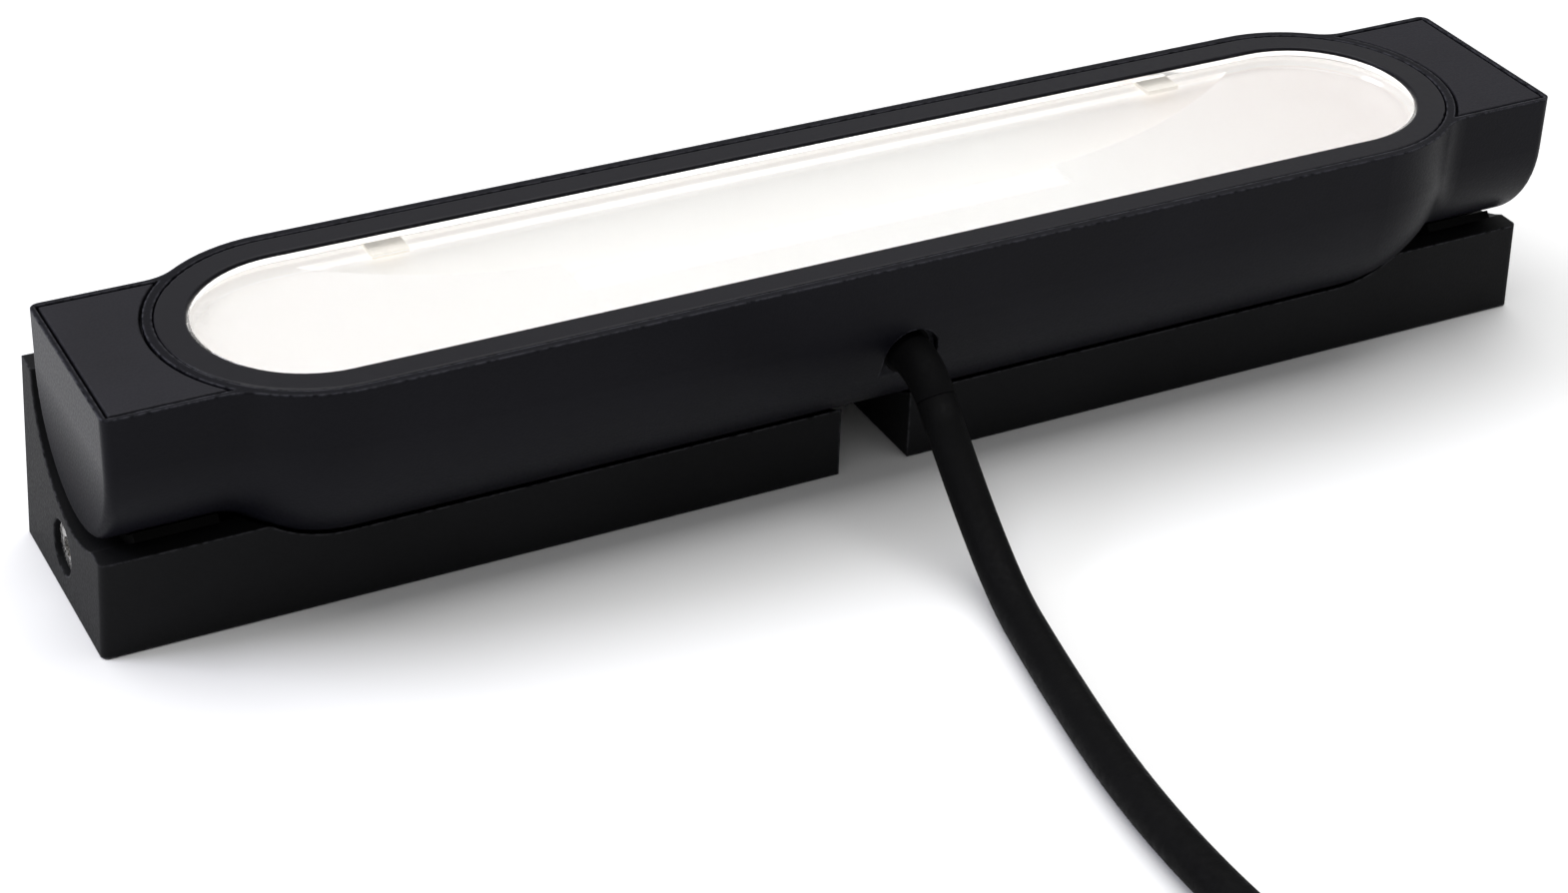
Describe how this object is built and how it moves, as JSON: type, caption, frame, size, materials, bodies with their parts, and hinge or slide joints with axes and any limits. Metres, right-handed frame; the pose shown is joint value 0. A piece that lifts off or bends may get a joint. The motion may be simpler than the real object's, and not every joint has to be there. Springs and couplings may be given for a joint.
{
  "type": "picture light",
  "caption": "Half-round lamp head with a satin glass window that tilts in a low screw-fixed cradle and washes a picture with light; mains lead with plug.",
  "frame": {"origin": "on the surface that the cradle is screwed to, midway between the mounting plate's two screw slots and straight below the tilt axis", "axes": "+X along the lamp, -Y towards the side where the cable leaves, +Z away from the mounting surface, towards the glass"},
  "size_m": [0.2939, 0.2619, 0.0424],
  "materials": {
    "cradle_paint": "matt fine-textured black powder coat",
    "housing_paint": "satin black powder coat, finely textured",
    "cover_paint": "matt black, fine grain",
    "frame_paint": "smooth satin black",
    "zinc_steel": "zinc plated sheet steel",
    "screw_steel": "bright plated screw steel",
    "spring_steel": "spring steel",
    "liner_plastic": "matt black acetal",
    "rivet_aluminium": "blind rivet aluminium",
    "satin_glass": "satin etched, milky",
    "lamp_glass": "frosted",
    "gasket_silicone": "silicone",
    "clip_sleeve": "beige silicone coated spring clip",
    "reflector_white": "white gloss enamel",
    "cap_ceramic": "unglazed steatite",
    "holder_ceramic": "white steatite",
    "contact_brass": "turned brass",
    "terminal_plastic": "white nylon",
    "gland_rubber": "black moulded, matt",
    "nut_plastic": "black nylon",
    "core_brown": "brown insulation",
    "core_blue": "blue insulation",
    "lead_silicone": "white heat-resistant sleeve",
    "cable_rubber": "black rubber sheath, matt",
    "plug_plastic": "black moulded plug",
    "pin_nickel": "nickel plated"
  },
  "bodies": {
    "base": {"cradle": "cradle_paint", "mounting_plate": "zinc_steel", "end_screw_left": "screw_steel", "end_screw_right": "screw_steel", "bearing_liner_left": "liner_plastic", "bearing_liner_right": "liner_plastic", "liner_rivets": "rivet_aluminium", "supply_cord": "cable_rubber", "cord_coil": "cable_rubber", "cord_tail": "cable_rubber", "plug_body": "plug_plastic", "plug_pins": "pin_nickel"},
    "head": {"tilt_screw_left": "screw_steel", "tilt_screw_right": "screw_steel", "saddle_washer_left": "zinc_steel", "saddle_washer_right": "zinc_steel", "spring_washer_left": "spring_steel", "spring_washer_right": "spring_steel", "head_housing": "housing_paint", "window_frame": "frame_paint", "window_glass": "satin_glass", "glass_gasket": "gasket_silicone", "glass_clips": "clip_sleeve", "wing_cover_left": "cover_paint", "wing_cover_right": "cover_paint", "frame_screws": "screw_steel", "reflector": "reflector_white", "lamp_carrier": "zinc_steel", "carrier_screws": "screw_steel", "holder_screws": "screw_steel", "lamp_tube": "lamp_glass", "lamp_caps": "cap_ceramic", "lamp_contacts": "screw_steel", "lampholder_left": "holder_ceramic", "lampholder_right": "holder_ceramic", "contact_spring_left": "spring_steel", "contact_spring_right": "spring_steel", "terminal_block": "terminal_plastic", "terminal_screws": "contact_brass", "cable_gland": "gland_rubber", "gland_nut": "nut_plastic", "core_live": "core_brown", "core_neutral": "core_blue", "lead_right": "lead_silicone", "lead_left": "lead_silicone"},
    "plunger_left": {"contact_plunger_left": "contact_brass"},
    "plunger_right": {"contact_plunger_right": "contact_brass"}
  },
  "joints": [
    {"name": "head_tilt", "type": "hinge", "parent": "base", "child": "head", "pos_m": [0, 0, 0.033], "axis": [1, 0, 0], "range_deg": [-20, 20], "deforming": ["supply_cord"]},
    {"name": "plunger_left_slide", "type": "slide", "parent": "head", "child": "plunger_left", "axis": [-1, 0, 0], "range_m": [0, 0.0015], "stiffness_N_per_m": 400, "springref_m": -0.002, "deforming": ["contact_spring_left"]},
    {"name": "plunger_right_slide", "type": "slide", "parent": "head", "child": "plunger_right", "axis": [1, 0, 0], "range_m": [0, 0.0015], "stiffness_N_per_m": 400, "springref_m": -0.002, "deforming": ["contact_spring_right"]}
  ]
}
